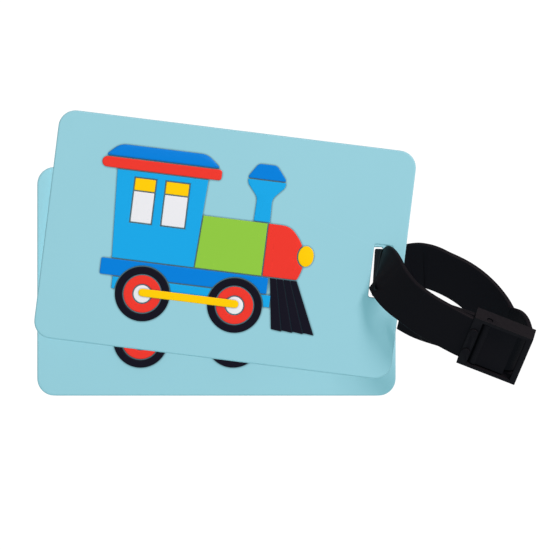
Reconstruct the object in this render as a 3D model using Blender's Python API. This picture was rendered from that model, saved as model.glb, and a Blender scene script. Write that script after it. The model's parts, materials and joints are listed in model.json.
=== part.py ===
"""A pair of soft PVC luggage tags, fanned on one buckled strap and lying face up.

Each tag is a face plate with a coloured relief on it and a card pocket behind it. The strap runs from
its fixed end in the buckle, down through both slots, back under the rear tag's margin and up into the
buckle again, where two pegs of the hinged tongue hold it. Lengths are in millimetres until a mesh is
written; +Z points out of the tags' faces and the floor is Z = 0.
"""

import math

import bmesh
import bpy
from mathutils import Matrix, Vector

MM = 0.001

# Overall sizes of one tag.
TAG_LENGTH = 105.0
TAG_HEIGHT = 67.0
TAG_CORNER = 5.0
PLATE_THICKNESS = 1.8
POCKET_DEPTH = 2.8
CLEARANCE = 0.3

# Strap slot in the face plate.
SLOT_INSET = 6.5
SLOT_WIDTH = 5.5
SLOT_PLAY = 1.5
SLOT_SHIFT = 2.25
SLOT_CORNER = 0.6

# Card pocket behind the face plate.
POCKET_SLOT_MARGIN = 3.8
POCKET_WALL = 2.5
POCKET_SIDE_WALL = 6.0
POCKET_MOUTH_WALL = 4.2
MOUTH_LIP = 0.2
LEDGE_THICKNESS = 1.0
LEDGE_WIDTH = 4.2
WINDOW_THICKNESS = 0.35
CARD_THICKNESS = 0.4
CARD_MARGIN = 0.5
THUMB_NOTCH_RADIUS = 6.0

# Relief on the face.
RELIEF_GAP = 0.25
RELIEF_HEIGHT = 0.9
LOW_RELIEF_HEIGHT = 0.6
ROD_HEIGHT = 0.5

# How the front tag lies over the rear one: the shift of its slot, and its turn.
FRONT_SLOT_SHIFT = (2.25, 5.07)
FRONT_TURN = math.radians(-7.09)

# Strap.
STRAP_WIDTH = 14.0
STRAP_THICKNESS = 1.6
STRAP_BEND_RADIUS = 1.5
STRAP_STEP = 1.6
LOOP_TILT = math.radians(32.0)
LOOP_END_RADIUS = 3.5
LOOP_END_INSET = 1.6
HOLE_PITCH = 6.0
HOLE_PAIRS = 5
HOLE_RADIUS = 1.5

# Buckle, in its own frame: U along the strap, V across it, N outwards.
BUCKLE_FROM_CROSSING = (33.9, -21.8)
BUCKLE_RISE = 26.4
BUCKLE_HEADING = math.atan2(-0.363, 0.932)
BUCKLE_LENGTH = 18.0
BUCKLE_SIDE_WALL = 1.0
BUCKLE_TOP_WALL = 0.8
BUCKLE_BOTTOM_WALL = 0.8
TAIL_GAP = 0.5
BRIDGE_LENGTH = 2.7
END_BAR_LENGTH = 1.8
END_BAR_DEPTH = 2.8
CROSSBAR = (-3.5, -0.5)
PIN_U = -4.6
PIN_N = 0.2
PIN_RADIUS = 0.8
PIN_PLAY = 0.15
BARREL_RADIUS = 1.3
TONGUE_LENGTH = 9.2
TONGUE_THICKNESS = 1.6
PEG_U = 2.2
PEG_SPREAD = 3.5
PEG_RADIUS = 1.0
PEG_TIP_RADIUS = 0.65
ANCHOR_RADIUS = 0.7
ANCHOR_HEAD_RADIUS = 1.2
ANCHOR_HEAD = 0.5

# Values worked out from the sizes above.
PLATE_LOW = POCKET_DEPTH + CLEARANCE
PLATE_TOP = PLATE_LOW + PLATE_THICKNESS
RELIEF_LOW = PLATE_TOP + RELIEF_GAP
ROD_LOW = RELIEF_LOW + RELIEF_HEIGHT + RELIEF_GAP
STACK_STEP = ROD_LOW + ROD_HEIGHT + CLEARANCE
SLOT_X = TAG_LENGTH / 2 - SLOT_INSET
SLOT_LENGTH = STRAP_WIDTH + SLOT_PLAY
TAIL_DEPTH = STRAP_THICKNESS + TAIL_GAP
STRAP_CHANNEL = STRAP_WIDTH / 2 + CLEARANCE
BUCKLE_HALF_WIDTH = STRAP_CHANNEL + BUCKLE_SIDE_WALL
BUCKLE_ROOF = STRAP_THICKNESS / 2 + CLEARANCE
BUCKLE_TOP = BUCKLE_ROOF + BUCKLE_TOP_WALL
TAIL_FLOOR = -TAIL_DEPTH - STRAP_THICKNESS / 2 - CLEARANCE
BUCKLE_BOTTOM = TAIL_FLOOR - BUCKLE_BOTTOM_WALL
BRIDGE_END = -BUCKLE_LENGTH / 2 + BRIDGE_LENGTH
ANCHOR_U = -BUCKLE_LENGTH / 2 + BRIDGE_LENGTH / 2

COLOURS = {
    "tag_blue": ((0.31, 0.60, 0.68), 0.45),
    "deep_blue": ((0.0, 0.22, 0.73), 0.4),
    "cab_blue": ((0.015, 0.38, 0.78), 0.4),
    "leaf_green": ((0.28, 0.58, 0.065), 0.4),
    "signal_red": ((0.88, 0.045, 0.026), 0.4),
    "sun_yellow": ((0.98, 0.63, 0.003), 0.4),
    "pane_white": ((0.81, 0.80, 0.83), 0.4),
    "wheel_black": ((0.012, 0.012, 0.016), 0.45),
    "card_paper": ((0.86, 0.85, 0.82), 0.8),
    "clear_window": ((0.9, 0.93, 0.95), 0.1),
    "strap_black": ((0.010, 0.010, 0.012), 0.5),
    "buckle_black": ((0.014, 0.014, 0.016), 0.4),
}


def clear_scene():
    """Removes what the scene holds, so that the file models only the tags."""
    for item in list(bpy.data.objects):
        bpy.data.objects.remove(item)


def make_material(slot):
    """A Principled material with the slot's colour and roughness."""
    colour, roughness = COLOURS[slot]
    material = bpy.data.materials.get(slot) or bpy.data.materials.new(slot)
    material.use_nodes = True
    shader = material.node_tree.nodes["Principled BSDF"]
    shader.inputs["Base Color"].default_value = (*colour, 1.0)
    shader.inputs["Roughness"].default_value = roughness
    shader.inputs["Metallic"].default_value = 0.0
    return material


def make_empty(name, parent, location, rotation=(0.0, 0.0, 0.0)):
    """A parent frame; its location is in millimetres."""
    empty = bpy.data.objects.new(name, None)
    empty.location = Vector(location) * MM
    empty.rotation_euler = rotation
    empty.parent = parent
    bpy.context.scene.collection.objects.link(empty)
    return empty


def make_object(name, bm, slot, parent, smooth=False):
    """Writes a bmesh in millimetres as an object in metres under its parent frame."""
    bmesh.ops.recalc_face_normals(bm, faces=bm.faces)
    bmesh.ops.scale(bm, vec=(MM, MM, MM), verts=bm.verts)
    mesh = bpy.data.meshes.new(name)
    bm.to_mesh(mesh)
    bm.free()
    if smooth:
        mesh.shade_smooth()
        mesh.set_sharp_from_angle(angle=math.radians(35))
    if slot:
        mesh.materials.append(make_material(slot))
    item = bpy.data.objects.new(name, mesh)
    item.parent = parent
    bpy.context.scene.collection.objects.link(item)
    return item


def make_cutter(name, bm, parent):
    """A hidden solid that only cuts or joins other pieces."""
    cutter = make_object(name, bm, None, parent)
    cutter.hide_render = True
    cutter.display_type = "WIRE"
    return cutter


def combine(item, tool, operation="DIFFERENCE"):
    """Cuts the tool from the piece, or joins it to the piece."""
    boolean = item.modifiers.new(tool.name, "BOOLEAN")
    boolean.object = tool
    boolean.operation = operation
    boolean.solver = "EXACT"


def prism(outline, low, high):
    """An outline in X and Y, extruded from low to high."""
    bm = bmesh.new()
    bottom = [bm.verts.new((x, y, low)) for x, y in outline]
    top = [bm.verts.new((x, y, high)) for x, y in outline]
    bm.faces.new(reversed(bottom))
    bm.faces.new(top)
    count = len(outline)
    for i in range(count):
        j = (i + 1) % count
        bm.faces.new((bottom[i], bottom[j], top[j], top[i]))
    return bm


def block_outline(x_span, y_span):
    """The corners of an upright rectangle, anticlockwise."""
    return [(x_span[0], y_span[0]), (x_span[1], y_span[0]), (x_span[1], y_span[1]), (x_span[0], y_span[1])]


def block(x_span, y_span, z_span):
    """A box between three spans."""
    return prism(block_outline(x_span, y_span), *z_span)


def turned(profile, segments):
    """A closed solid turned about Z; the profile is a list of radius and height, from bottom to top."""
    bm = bmesh.new()
    rings = []
    for radius, height in profile:
        rings.append(
            [
                bm.verts.new((*arc_point((0, 0), radius, 2 * math.pi * k / segments), height))
                for k in range(segments)
            ]
        )
    bm.faces.new(reversed(rings[0]))
    bm.faces.new(rings[-1])
    for lower, upper in zip(rings, rings[1:]):
        for k in range(segments):
            nxt = (k + 1) % segments
            bm.faces.new((lower[k], lower[nxt], upper[nxt], upper[k]))
    return bm


def annulus(centre, outer, inner, low, high, segments):
    """A flat ring about a centre."""
    bm = bmesh.new()
    loops = []
    for radius, height in ((outer, low), (outer, high), (inner, high), (inner, low)):
        loops.append(
            [
                bm.verts.new((*arc_point(centre, radius, 2 * math.pi * k / segments), height))
                for k in range(segments)
            ]
        )
    for near, far in zip(loops, loops[1:] + loops[:1]):
        for k in range(segments):
            nxt = (k + 1) % segments
            bm.faces.new((near[k], near[nxt], far[nxt], far[k]))
    return bm


def arc_point(centre, radius, angle):
    return (centre[0] + radius * math.cos(angle), centre[1] + radius * math.sin(angle))


def ellipse(centre, half_width, half_height, segments):
    """Points round an ellipse."""
    turns = [2 * math.pi * k / segments for k in range(segments)]
    return [(centre[0] + half_width * math.cos(a), centre[1] + half_height * math.sin(a)) for a in turns]


def rounded(corners, radii, steps=4):
    """Replaces each corner of an outline with an arc of its radius."""
    if not isinstance(radii, (list, tuple)):
        radii = [radii] * len(corners)
    outline = []
    for i, corner in enumerate(corners):
        here = Vector(corner)
        back = (Vector(corners[i - 1]) - here).normalized()
        ahead = (Vector(corners[(i + 1) % len(corners)]) - here).normalized()
        half = math.acos(max(-1.0, min(1.0, back.dot(ahead)))) / 2
        reach = radii[i] / math.tan(half)
        centre = here + (back + ahead).normalized() * (radii[i] / math.sin(half))
        first = here + back * reach - centre
        sweep = first.angle_signed(here + ahead * reach - centre)
        for k in range(steps + 1):
            outline.append(tuple(centre + Matrix.Rotation(-sweep * k / steps, 2) @ first))
    return outline


def rectangle(x_span, y_span, radii, steps=4):
    """A rectangle with rounded corners, from its lower left corner anticlockwise."""
    corners = [(x_span[0], y_span[0]), (x_span[1], y_span[0]), (x_span[1], y_span[1]), (x_span[0], y_span[1])]
    return rounded(corners, radii, steps)


# --- One tag ---------------------------------------------------------------------------------------

HALF_LENGTH = TAG_LENGTH / 2
HALF_HEIGHT = TAG_HEIGHT / 2
POCKET_END = SLOT_X - SLOT_WIDTH / 2 - POCKET_SLOT_MARGIN
SEAT_X = (-HALF_LENGTH + POCKET_MOUTH_WALL, POCKET_END - POCKET_WALL)
SEAT_Y = HALF_HEIGHT - POCKET_SIDE_WALL
MOUTH_LOW = LEDGE_THICKNESS + CLEARANCE + WINDOW_THICKNESS + MOUTH_LIP
CARD_LOW = LEDGE_THICKNESS + 2 * CLEARANCE + WINDOW_THICKNESS

# The train's own sizes, about the tag's centre.
WHEEL_Y = -17.3
WHEEL_XS = (-22.2, 4.9)
TYRE_RADIUS = 8.0
DISC_RADIUS = 5.5
HUB_RADIUS = 2.6
ROD_WIDTH = 2.3
CAB_TOP = 18.0
EAVE_HEIGHT = 3.1
ENGINE_LOW = -7.8
BOARD_HEIGHT = 4.8
SILL_HEIGHT = 3.5
BOILER_TOP = 7.6
STACK_TOP = 19.9
LAMP_CENTRE = (23.8, -0.6)
LAMP_HALF = (2.3, 3.05)
PANE_LOW = 2.9
PANE_HIGH = 16.4
BLIND_LOW = 12.5
PANE_XS = ((-28.6, -21.9), (-19.5, -12.1))


def make_face_plate(name, parent, slot_middle):
    """The face plate with its strap slot, whose middle is slot_middle above the plate's."""
    outline = rectangle((-HALF_LENGTH, HALF_LENGTH), (-HALF_HEIGHT, HALF_HEIGHT), TAG_CORNER, 8)
    plate = make_object(name, prism(outline, PLATE_LOW, PLATE_TOP), "tag_blue", parent)
    across = (SLOT_X - SLOT_WIDTH / 2, SLOT_X + SLOT_WIDTH / 2)
    slot = rectangle(across, (slot_middle - SLOT_LENGTH / 2, slot_middle + SLOT_LENGTH / 2), SLOT_CORNER, 3)
    combine(plate, make_cutter(name + "_slot", prism(slot, PLATE_LOW - 1, PLATE_TOP + 1), parent))


def make_pocket_frame(name, parent):
    """The back frame: a ledge round the window, a wall round the card, and a mouth at the short side."""
    outline = rectangle((-HALF_LENGTH, POCKET_END), (-HALF_HEIGHT, HALF_HEIGHT), [TAG_CORNER, 2, 2, TAG_CORNER], 6)
    frame = make_object(name, prism(outline, 0, POCKET_DEPTH), "tag_blue", parent)
    seat = rectangle(SEAT_X, (-SEAT_Y, SEAT_Y), 0.5, 2)
    combine(frame, make_cutter(name + "_seat", prism(seat, LEDGE_THICKNESS, POCKET_DEPTH + 1), parent))
    mouth = block((-HALF_LENGTH - 1, SEAT_X[0] + 1), (-SEAT_Y, SEAT_Y), (MOUTH_LOW, POCKET_DEPTH + 1))
    combine(frame, make_cutter(name + "_mouth", mouth, parent))
    opening = rectangle(
        (SEAT_X[0] + LEDGE_WIDTH, SEAT_X[1] - LEDGE_WIDTH), (-SEAT_Y + LEDGE_WIDTH, SEAT_Y - LEDGE_WIDTH), 3, 4
    )
    combine(frame, make_cutter(name + "_opening", prism(opening, -1, LEDGE_THICKNESS + 0.5), parent))
    notch = prism(ellipse((-HALF_LENGTH, 0), THUMB_NOTCH_RADIUS, THUMB_NOTCH_RADIUS, 24), -1, POCKET_DEPTH + 1)
    combine(frame, make_cutter(name + "_notch", notch, parent))


def make_window_and_card(name, parent, card_parent, card_pivot):
    """The clear sheet on the ledge, and the address card over it, which slides out of the mouth."""
    low = LEDGE_THICKNESS + CLEARANCE
    sheet = rectangle(
        (SEAT_X[0] + CLEARANCE, SEAT_X[1] - CLEARANCE), (-SEAT_Y + CLEARANCE, SEAT_Y - CLEARANCE), 0.5, 2
    )
    make_object(name + "_window_sheet", prism(sheet, low, low + WINDOW_THICKNESS), "clear_window", parent)
    card = rectangle(
        (-HALF_LENGTH + 1.0, SEAT_X[1] - CARD_MARGIN), (-SEAT_Y + CARD_MARGIN, SEAT_Y - CARD_MARGIN), 2, 3
    )
    paper = make_object(
        name + "_address_card", prism(card, CARD_LOW, CARD_LOW + CARD_THICKNESS), "card_paper", card_parent
    )
    paper.location = Vector(card_pivot) * -MM


def make_relief(name, parent):
    """The raised train: every colour is a separate moulded piece."""
    top = RELIEF_LOW + RELIEF_HEIGHT
    low_top = RELIEF_LOW + LOW_RELIEF_HEIGHT
    gap = CLEARANCE

    def piece(part, outline, slot, high=top):
        return make_object(f"{name}_{part}", prism(outline, RELIEF_LOW, high), slot, parent)

    eave_low = CAB_TOP + gap
    eave_high = eave_low + EAVE_HEIGHT
    dome_low = eave_high + gap
    dome = rounded([(-37.8, dome_low), (-3.7, dome_low), (-8.2, 25.4), (-33.9, 25.4)], [0.4, 0.4, 5.0, 5.0], 6)
    piece("roof_dome", dome, "deep_blue")
    piece("eave", rectangle((-38.5, -3.4), (eave_low, eave_high), [1.5, 0.8, 0.8, 1.5], 5), "signal_red")

    cab_side = [(-8.3, ENGINE_LOW), (-7.1, CAB_TOP)]
    cab = piece("cab", [(-32.3, ENGINE_LOW), *cab_side, (-33.8, CAB_TOP)], "cab_blue")
    for side, (left, right) in zip(("left", "right"), PANE_XS):
        hole = block((left, right), (PANE_LOW, PANE_HIGH), (RELIEF_LOW - 1, top + 1))
        combine(cab, make_cutter(f"{name}_cab_{side}_opening", hole, parent))
        glazed = (left + gap, right - gap)
        pane = rectangle(glazed, (PANE_LOW + gap, BLIND_LOW - gap), 0.2, 2)
        piece(f"{side}_pane", pane, "pane_white", low_top)
        blind = rectangle(glazed, (BLIND_LOW, PANE_HIGH - gap), 0.2, 2)
        piece(f"{side}_blind", blind, "sun_yellow", low_top)

    boiler_end = 11.6
    slope = (cab_side[1][0] - cab_side[0][0]) / (CAB_TOP - ENGINE_LOW)
    boiler_left = cab_side[0][0] + gap
    boiler_left_top = boiler_left + slope * (BOILER_TOP - ENGINE_LOW)
    boiler = [
        (boiler_left, ENGINE_LOW),
        (boiler_end, ENGINE_LOW),
        (boiler_end, BOILER_TOP),
        (boiler_left_top, BOILER_TOP),
    ]
    piece("boiler", boiler, "leaf_green")

    box_left = boiler_end + gap
    nose = [(box_left, ENGINE_LOW), (22.0, ENGINE_LOW), (23.4, -4.0), (22.6, 2.6), (18.4, BOILER_TOP)]
    smokebox = piece("smokebox", rounded([*nose, (box_left, BOILER_TOP)], [0.3, 0.9, 8, 8, 5, 0.3]), "signal_red")
    piece("headlamp", ellipse(LAMP_CENTRE, *LAMP_HALF, 28), "sun_yellow")
    socket = ellipse(LAMP_CENTRE, LAMP_HALF[0] + gap, LAMP_HALF[1] + gap, 28)
    combine(smokebox, make_cutter(f"{name}_lamp_socket", prism(socket, RELIEF_LOW - 1, top + 1), parent))

    stack_low = BOILER_TOP + gap
    stack = [(7.4, stack_low), (12.2, stack_low), (12.0, 14.8), (15.3, 18.4), (15.6, STACK_TOP)]
    stack += [(4.2, STACK_TOP), (4.6, 18.4), (7.6, 14.8)]
    piece("chimney_stack", rounded(stack, [0.3, 0.3, 3, 1.0, 0.3, 0.3, 1.0, 3]), "cab_blue")
    cap_low = STACK_TOP + gap
    cap = [(4.0, cap_low), (15.8, cap_low), (12.3, 24.6), (6.9, 24.6)]
    piece("chimney_cap", rounded(cap, [0.4, 0.4, 1.6, 1.6]), "deep_blue")

    board_top = ENGINE_LOW - gap
    board_low = board_top - BOARD_HEIGHT
    board = piece("running_board", rectangle((-35.3, 13.7), (board_low, board_top), 0.3, 2), "deep_blue")
    sill_top = board_low - gap
    sill = piece("sill", block_outline(WHEEL_XS, (sill_top - SILL_HEIGHT, sill_top)), "cab_blue")
    catcher = [(16.2, -23.2), (28.9, -23.2), (22.1, board_top), (14.1, board_top)]
    piece("cowcatcher", rounded(catcher, 0.3, 2), "wheel_black")

    for side, x in zip(("left", "right"), WHEEL_XS):
        centre = (x, WHEEL_Y)
        well = prism(ellipse(centre, TYRE_RADIUS + gap, TYRE_RADIUS + gap, 40), RELIEF_LOW - 1, top + 1)
        arch = make_cutter(f"{name}_{side}_wheel_arch", well, parent)
        combine(board, arch)
        combine(sill, arch)
        tyre = annulus(centre, TYRE_RADIUS, DISC_RADIUS + gap, RELIEF_LOW, top, 36)
        make_object(f"{name}_{side}_tyre", tyre, "wheel_black", parent, smooth=True)
        disc = annulus(centre, DISC_RADIUS, HUB_RADIUS + gap, RELIEF_LOW, top, 28)
        make_object(f"{name}_{side}_wheel_disc", disc, "signal_red", parent, smooth=True)
        piece(f"{side}_hub", ellipse(centre, HUB_RADIUS, HUB_RADIUS, 20), "pane_white")

    rod_y = WHEEL_Y + 0.4
    reach = ROD_WIDTH / 2
    rod = rectangle((WHEEL_XS[0] - reach, WHEEL_XS[1] + reach), (rod_y - reach, rod_y + reach), reach - 0.02, 6)
    bar = prism(rod, ROD_LOW, ROD_LOW + ROD_HEIGHT)
    make_object(f"{name}_coupling_rod", bar, "sun_yellow", parent)


def make_tag(name, base, slot_middle):
    """One tag: base is the frame at the tag's centre, on the underside of its pocket."""
    make_face_plate(name + "_face_plate", base, slot_middle)
    make_pocket_frame(name + "_pocket_frame", base)
    mouth = (-HALF_LENGTH, 0, CARD_LOW)
    card_frame = make_empty(name + "_card_slide", base, mouth)
    make_window_and_card(name, base, card_frame, mouth)
    make_relief(name, base)


# --- Strap -----------------------------------------------------------------------------------------


def crossing_point():
    """Where the strap passes through both slots: the middle of the opening that they share."""
    y = FRONT_SLOT_SHIFT[1] / 2
    front_x = SLOT_X + FRONT_SLOT_SHIFT[0] + (y - FRONT_SLOT_SHIFT[1]) * math.tan(-FRONT_TURN)
    left = front_x - SLOT_WIDTH / 2 / math.cos(FRONT_TURN)
    right = SLOT_X + SLOT_WIDTH / 2
    return Vector(((left + right) / 2, y, 0.0))


def buckle_matrix():
    """The buckle's frame in the tags' frame: columns U, V and N, and its centre."""
    along = Vector((math.cos(BUCKLE_HEADING), math.sin(BUCKLE_HEADING), 0.0))
    across = Vector((-along.y * math.cos(LOOP_TILT), along.x * math.cos(LOOP_TILT), math.sin(LOOP_TILT)))
    outward = along.cross(across)
    centre = crossing_point() + Vector((*BUCKLE_FROM_CROSSING, BUCKLE_RISE))
    matrix = Matrix((along, across, outward)).transposed().to_4x4()
    matrix.translation = centre
    return matrix


def strap_route():
    """Centre points and width directions, from the fixed end round the loop to the free tip."""
    buckle = buckle_matrix()
    across = buckle.to_3x3().col[1]
    outward = buckle.to_3x3().col[2]
    crossing = crossing_point()
    ring = Vector((0.44 * math.cos(LOOP_TILT), 0.90 * math.cos(LOOP_TILT), math.sin(LOOP_TILT)))
    upright = Vector((math.sin(-FRONT_TURN / 2), math.cos(FRONT_TURN / 2), 0.0))
    onward = Vector((upright.y, -upright.x, 0.0))
    leaf_top = STACK_STEP + PLATE_TOP
    route = []

    def in_buckle(u, n):
        route.append((buckle @ Vector((u, 0.0, n)), across))

    def beside(dx, dy, z, width):
        route.append((crossing + Vector((dx, dy, z)), Vector(width).normalized()))

    in_buckle(BRIDGE_END + 0.1, 0.0)
    in_buckle(-BUCKLE_LENGTH / 2, 0.0)
    over_tags = [(19.5, -15.4, leaf_top + 13.9), (13.1, -11.7, leaf_top + 12.9), (8.6, -8.3, leaf_top + 11.2)]
    for spot in over_tags:
        beside(*spot, ring)
    beside(5.4, -5.2, leaf_top + 9.0, (0.43, 0.80, 0.40))
    beside(3.2, -2.2, leaf_top + 6.6, (0.44, 0.86, 0.25))
    beside(1.8, 0.7, leaf_top + 4.2, (0.40, 0.92, 0.10))
    beside(1.3, 1.1, leaf_top + 2.4, (0.33, 0.94, 0.02))
    beside(0.7, 0.1, leaf_top + 0.4, (0.24, 0.97, 0.0))
    beside(0.6, 0.0, leaf_top - PLATE_THICKNESS - 0.4, (0.20, 0.98, 0.0))
    beside(-0.1, 0.0, PLATE_TOP + 0.6, upright)
    run_height = STRAP_THICKNESS / 2 + 0.5
    turn_centre = crossing + onward * STRAP_BEND_RADIUS + Vector((-0.1, 0.0, run_height + STRAP_BEND_RADIUS))
    for degrees in (0, 22.5, 45, 67.5, 90):
        angle = math.radians(degrees)
        rim = -onward * math.cos(angle) - Vector((0, 0, math.sin(angle)))
        route.append((turn_centre + rim * STRAP_BEND_RADIUS, upright))
    beside(6.6, 0.45, run_height + 0.05, (0.10, 0.99, 0.0))
    beside(10.3, 1.6, 2.7, (0.22, 0.93, 0.26))
    beside(14.5, 1.9, 4.5, (0.33, 0.83, 0.45))
    beside(19.2, 0.2, 5.1, ring)
    beside(25.1, -2.8, 5.2, ring)
    beside(30.2, -6.8, 5.6, ring)
    beside(34.2, -11.3, 7.0, ring)
    beside(37.4, -16.2, 10.2, ring)
    in_buckle(5.2, -11.0)
    bend_u = BUCKLE_LENGTH / 2 - LOOP_END_INSET - LOOP_END_RADIUS
    for degrees in (-30, 0, 30, 60, 90):
        angle = math.radians(degrees)
        rim = Vector((math.cos(angle), math.sin(angle) - 1))
        in_buckle(bend_u + LOOP_END_RADIUS * rim.x, LOOP_END_RADIUS * rim.y - TAIL_DEPTH)
    in_buckle(PEG_U, -TAIL_DEPTH)
    in_buckle(-4.0, -TAIL_DEPTH)
    in_buckle(-BUCKLE_LENGTH / 2 - 0.5, -TAIL_DEPTH - 0.1)
    for spot, depth, slip in zip(over_tags, (2.5, 3.2, 3.8), (1.5, 3.6, 5.0)):
        route.append((crossing + Vector(spot) - outward * depth - ring * slip, ring))
    return route


def smooth_stations(route, step):
    """Stations along a smooth curve through the route: centre, width direction, outward direction."""
    points = [point for point, _ in route]
    stations = []
    for i in range(len(points) - 1):
        start, end = points[i], points[i + 1]
        before = points[i - 1] if i else 2 * start - end
        after = points[i + 2] if i + 2 < len(points) else 2 * end - start
        span = (end - start).length
        leave = ((end - start) / span + (start - before) / (start - before).length).normalized() * span
        arrive = ((end - start) / span + (after - end) / (after - end).length).normalized() * span
        count = max(1, round(span / step))
        for k in range(count + (i == len(points) - 2)):
            t = k / count
            centre = (
                start * (2 * t**3 - 3 * t**2 + 1)
                + leave * (t**3 - 2 * t**2 + t)
                + end * (3 * t**2 - 2 * t**3)
                + arrive * (t**3 - t**2)
            )
            heading = (
                start * (6 * t**2 - 6 * t)
                + leave * (3 * t**2 - 4 * t + 1)
                + end * (6 * t - 6 * t**2)
                + arrive * (3 * t**2 - 2 * t)
            ).normalized()
            width = route[i][1].lerp(route[i + 1][1], t)
            width = (width - heading * width.dot(heading)).normalized()
            stations.append((centre, width, width.cross(heading)))
    return stations


def ribbon(stations, width, thickness):
    """A flat band along the stations."""
    bm = bmesh.new()
    sections = []
    for centre, across, outward in stations:
        edge = across * width / 2
        face = outward * thickness / 2
        corners = (centre + edge + face, centre - edge + face, centre - edge - face, centre + edge - face)
        sections.append([bm.verts.new(corner) for corner in corners])
    bm.faces.new(sections[0])
    bm.faces.new(reversed(sections[-1]))
    for near, far in zip(sections, sections[1:]):
        for k in range(4):
            nxt = (k + 1) % 4
            bm.faces.new((near[k], far[k], far[nxt], near[nxt]))
    bmesh.ops.triangulate(bm, faces=bm.faces)
    return bm


def make_strap_band(parent, pivot):
    """The band with its anchor holes and the paired holes of its tail."""
    stations = smooth_stations(strap_route(), STRAP_STEP)
    shifted = [(centre - pivot, across, outward) for centre, across, outward in stations]
    band = make_object("strap_band", ribbon(shifted, STRAP_WIDTH, STRAP_THICKNESS), "strap_black", parent)
    drill = STRAP_THICKNESS / 2 + 0.25
    buckle = buckle_matrix()
    spots = [(buckle @ Vector((ANCHOR_U, 0, 0)), stations[0][1], stations[0][2], ANCHOR_RADIUS + CLEARANCE)]
    first = buckle @ Vector((PEG_U, 0, -TAIL_DEPTH))
    tail = stations[len(stations) // 2 :]
    start = min(range(len(tail)), key=lambda i: (tail[i][0] - first).length)
    travelled = 0.0
    pairs = 0
    for i in range(start, len(tail) - 1):
        if pairs < HOLE_PAIRS and travelled >= pairs * HOLE_PITCH - 0.01:
            centre = first if pairs == 0 else (tail[i][0] + tail[i + 1][0]) / 2
            spots.append((centre, tail[i][1], tail[i][2], HOLE_RADIUS))
            pairs += 1
        travelled += (tail[i + 1][0] - tail[i][0]).length
    for number, (centre, across, outward, radius) in enumerate(spots):
        for side in (-1, 1):
            along = across.cross(outward)
            place = Matrix((along, across, outward)).transposed().to_4x4()
            place.translation = centre - pivot + across * side * PEG_SPREAD
            bm = turned([(radius, -drill), (radius, drill)], 16)
            bm.transform(place @ Matrix.Rotation(math.radians(7), 4, "Z"))
            combine(band, make_cutter(f"band_hole_{number}_{'low' if side < 0 else 'high'}", bm, parent))


def make_buckle(parent):
    """The rigid frame, its two anchor pins and the tongue's pin, all in the buckle's own frame."""
    half = BUCKLE_LENGTH / 2
    wide = BUCKLE_HALF_WIDTH
    frame = make_object(
        "buckle_frame", block((-half, half), (-wide, wide), (BUCKLE_BOTTOM, BUCKLE_TOP)), "buckle_black", parent
    )
    channel = (-STRAP_CHANNEL, STRAP_CHANNEL)
    bar_start = half - END_BAR_LENGTH
    bar_low = BUCKLE_TOP - END_BAR_DEPTH
    cuts = {
        "strap_channel": block((-half - 1, bar_start), channel, (TAIL_FLOOR, BUCKLE_ROOF)),
        "tail_entry": block((bar_start - 1, half + 1), channel, (TAIL_FLOOR, bar_low)),
        "window": block((BRIDGE_END, bar_start), channel, (BUCKLE_ROOF - 1, BUCKLE_TOP + 1)),
        "floor_left": block((-half - 1, CROSSBAR[0]), channel, (BUCKLE_BOTTOM - 1, TAIL_FLOOR + 1)),
        "floor_right": block((CROSSBAR[1], half + 1), channel, (BUCKLE_BOTTOM - 1, TAIL_FLOOR + 1)),
    }
    for name, shape in cuts.items():
        combine(frame, make_cutter("buckle_" + name, shape, parent))
    bore = turned([(PIN_RADIUS + PIN_PLAY, -wide - 1), (PIN_RADIUS + PIN_PLAY, wide + 1)], 20)
    bore.transform(Matrix.Translation((PIN_U, 0, PIN_N)) @ Matrix.Rotation(math.pi / 2, 4, "X"))
    combine(frame, make_cutter("buckle_pin_bore", bore, parent))
    pin = turned([(PIN_RADIUS, -wide + 0.2), (PIN_RADIUS, wide - 0.2)], 20)
    pin.transform(Matrix.Translation((PIN_U, 0, PIN_N)) @ Matrix.Rotation(math.pi / 2, 4, "X"))
    make_object("tongue_pin", pin, "buckle_black", parent, smooth=True)
    head_low = BUCKLE_TOP + PIN_PLAY
    shank = STRAP_THICKNESS / 2 - 0.1
    for side, v in (("lower", -PEG_SPREAD), ("upper", PEG_SPREAD)):
        hole = turned([(ANCHOR_RADIUS + PIN_PLAY, 0), (ANCHOR_RADIUS + PIN_PLAY, BUCKLE_TOP + 1)], 16)
        hole.transform(Matrix.Translation((ANCHOR_U, v, 0)))
        combine(frame, make_cutter(f"anchor_bore_{side}", hole, parent))
        profile = [
            (ANCHOR_RADIUS, -shank),
            (ANCHOR_RADIUS, head_low),
            (ANCHOR_HEAD_RADIUS, head_low),
            (ANCHOR_HEAD_RADIUS, head_low + ANCHOR_HEAD),
        ]
        anchor = turned(profile, 16)
        anchor.transform(Matrix.Translation((ANCHOR_U, v, 0)))
        make_object(f"anchor_pin_{side}", anchor, "buckle_black", parent, smooth=True)


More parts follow.
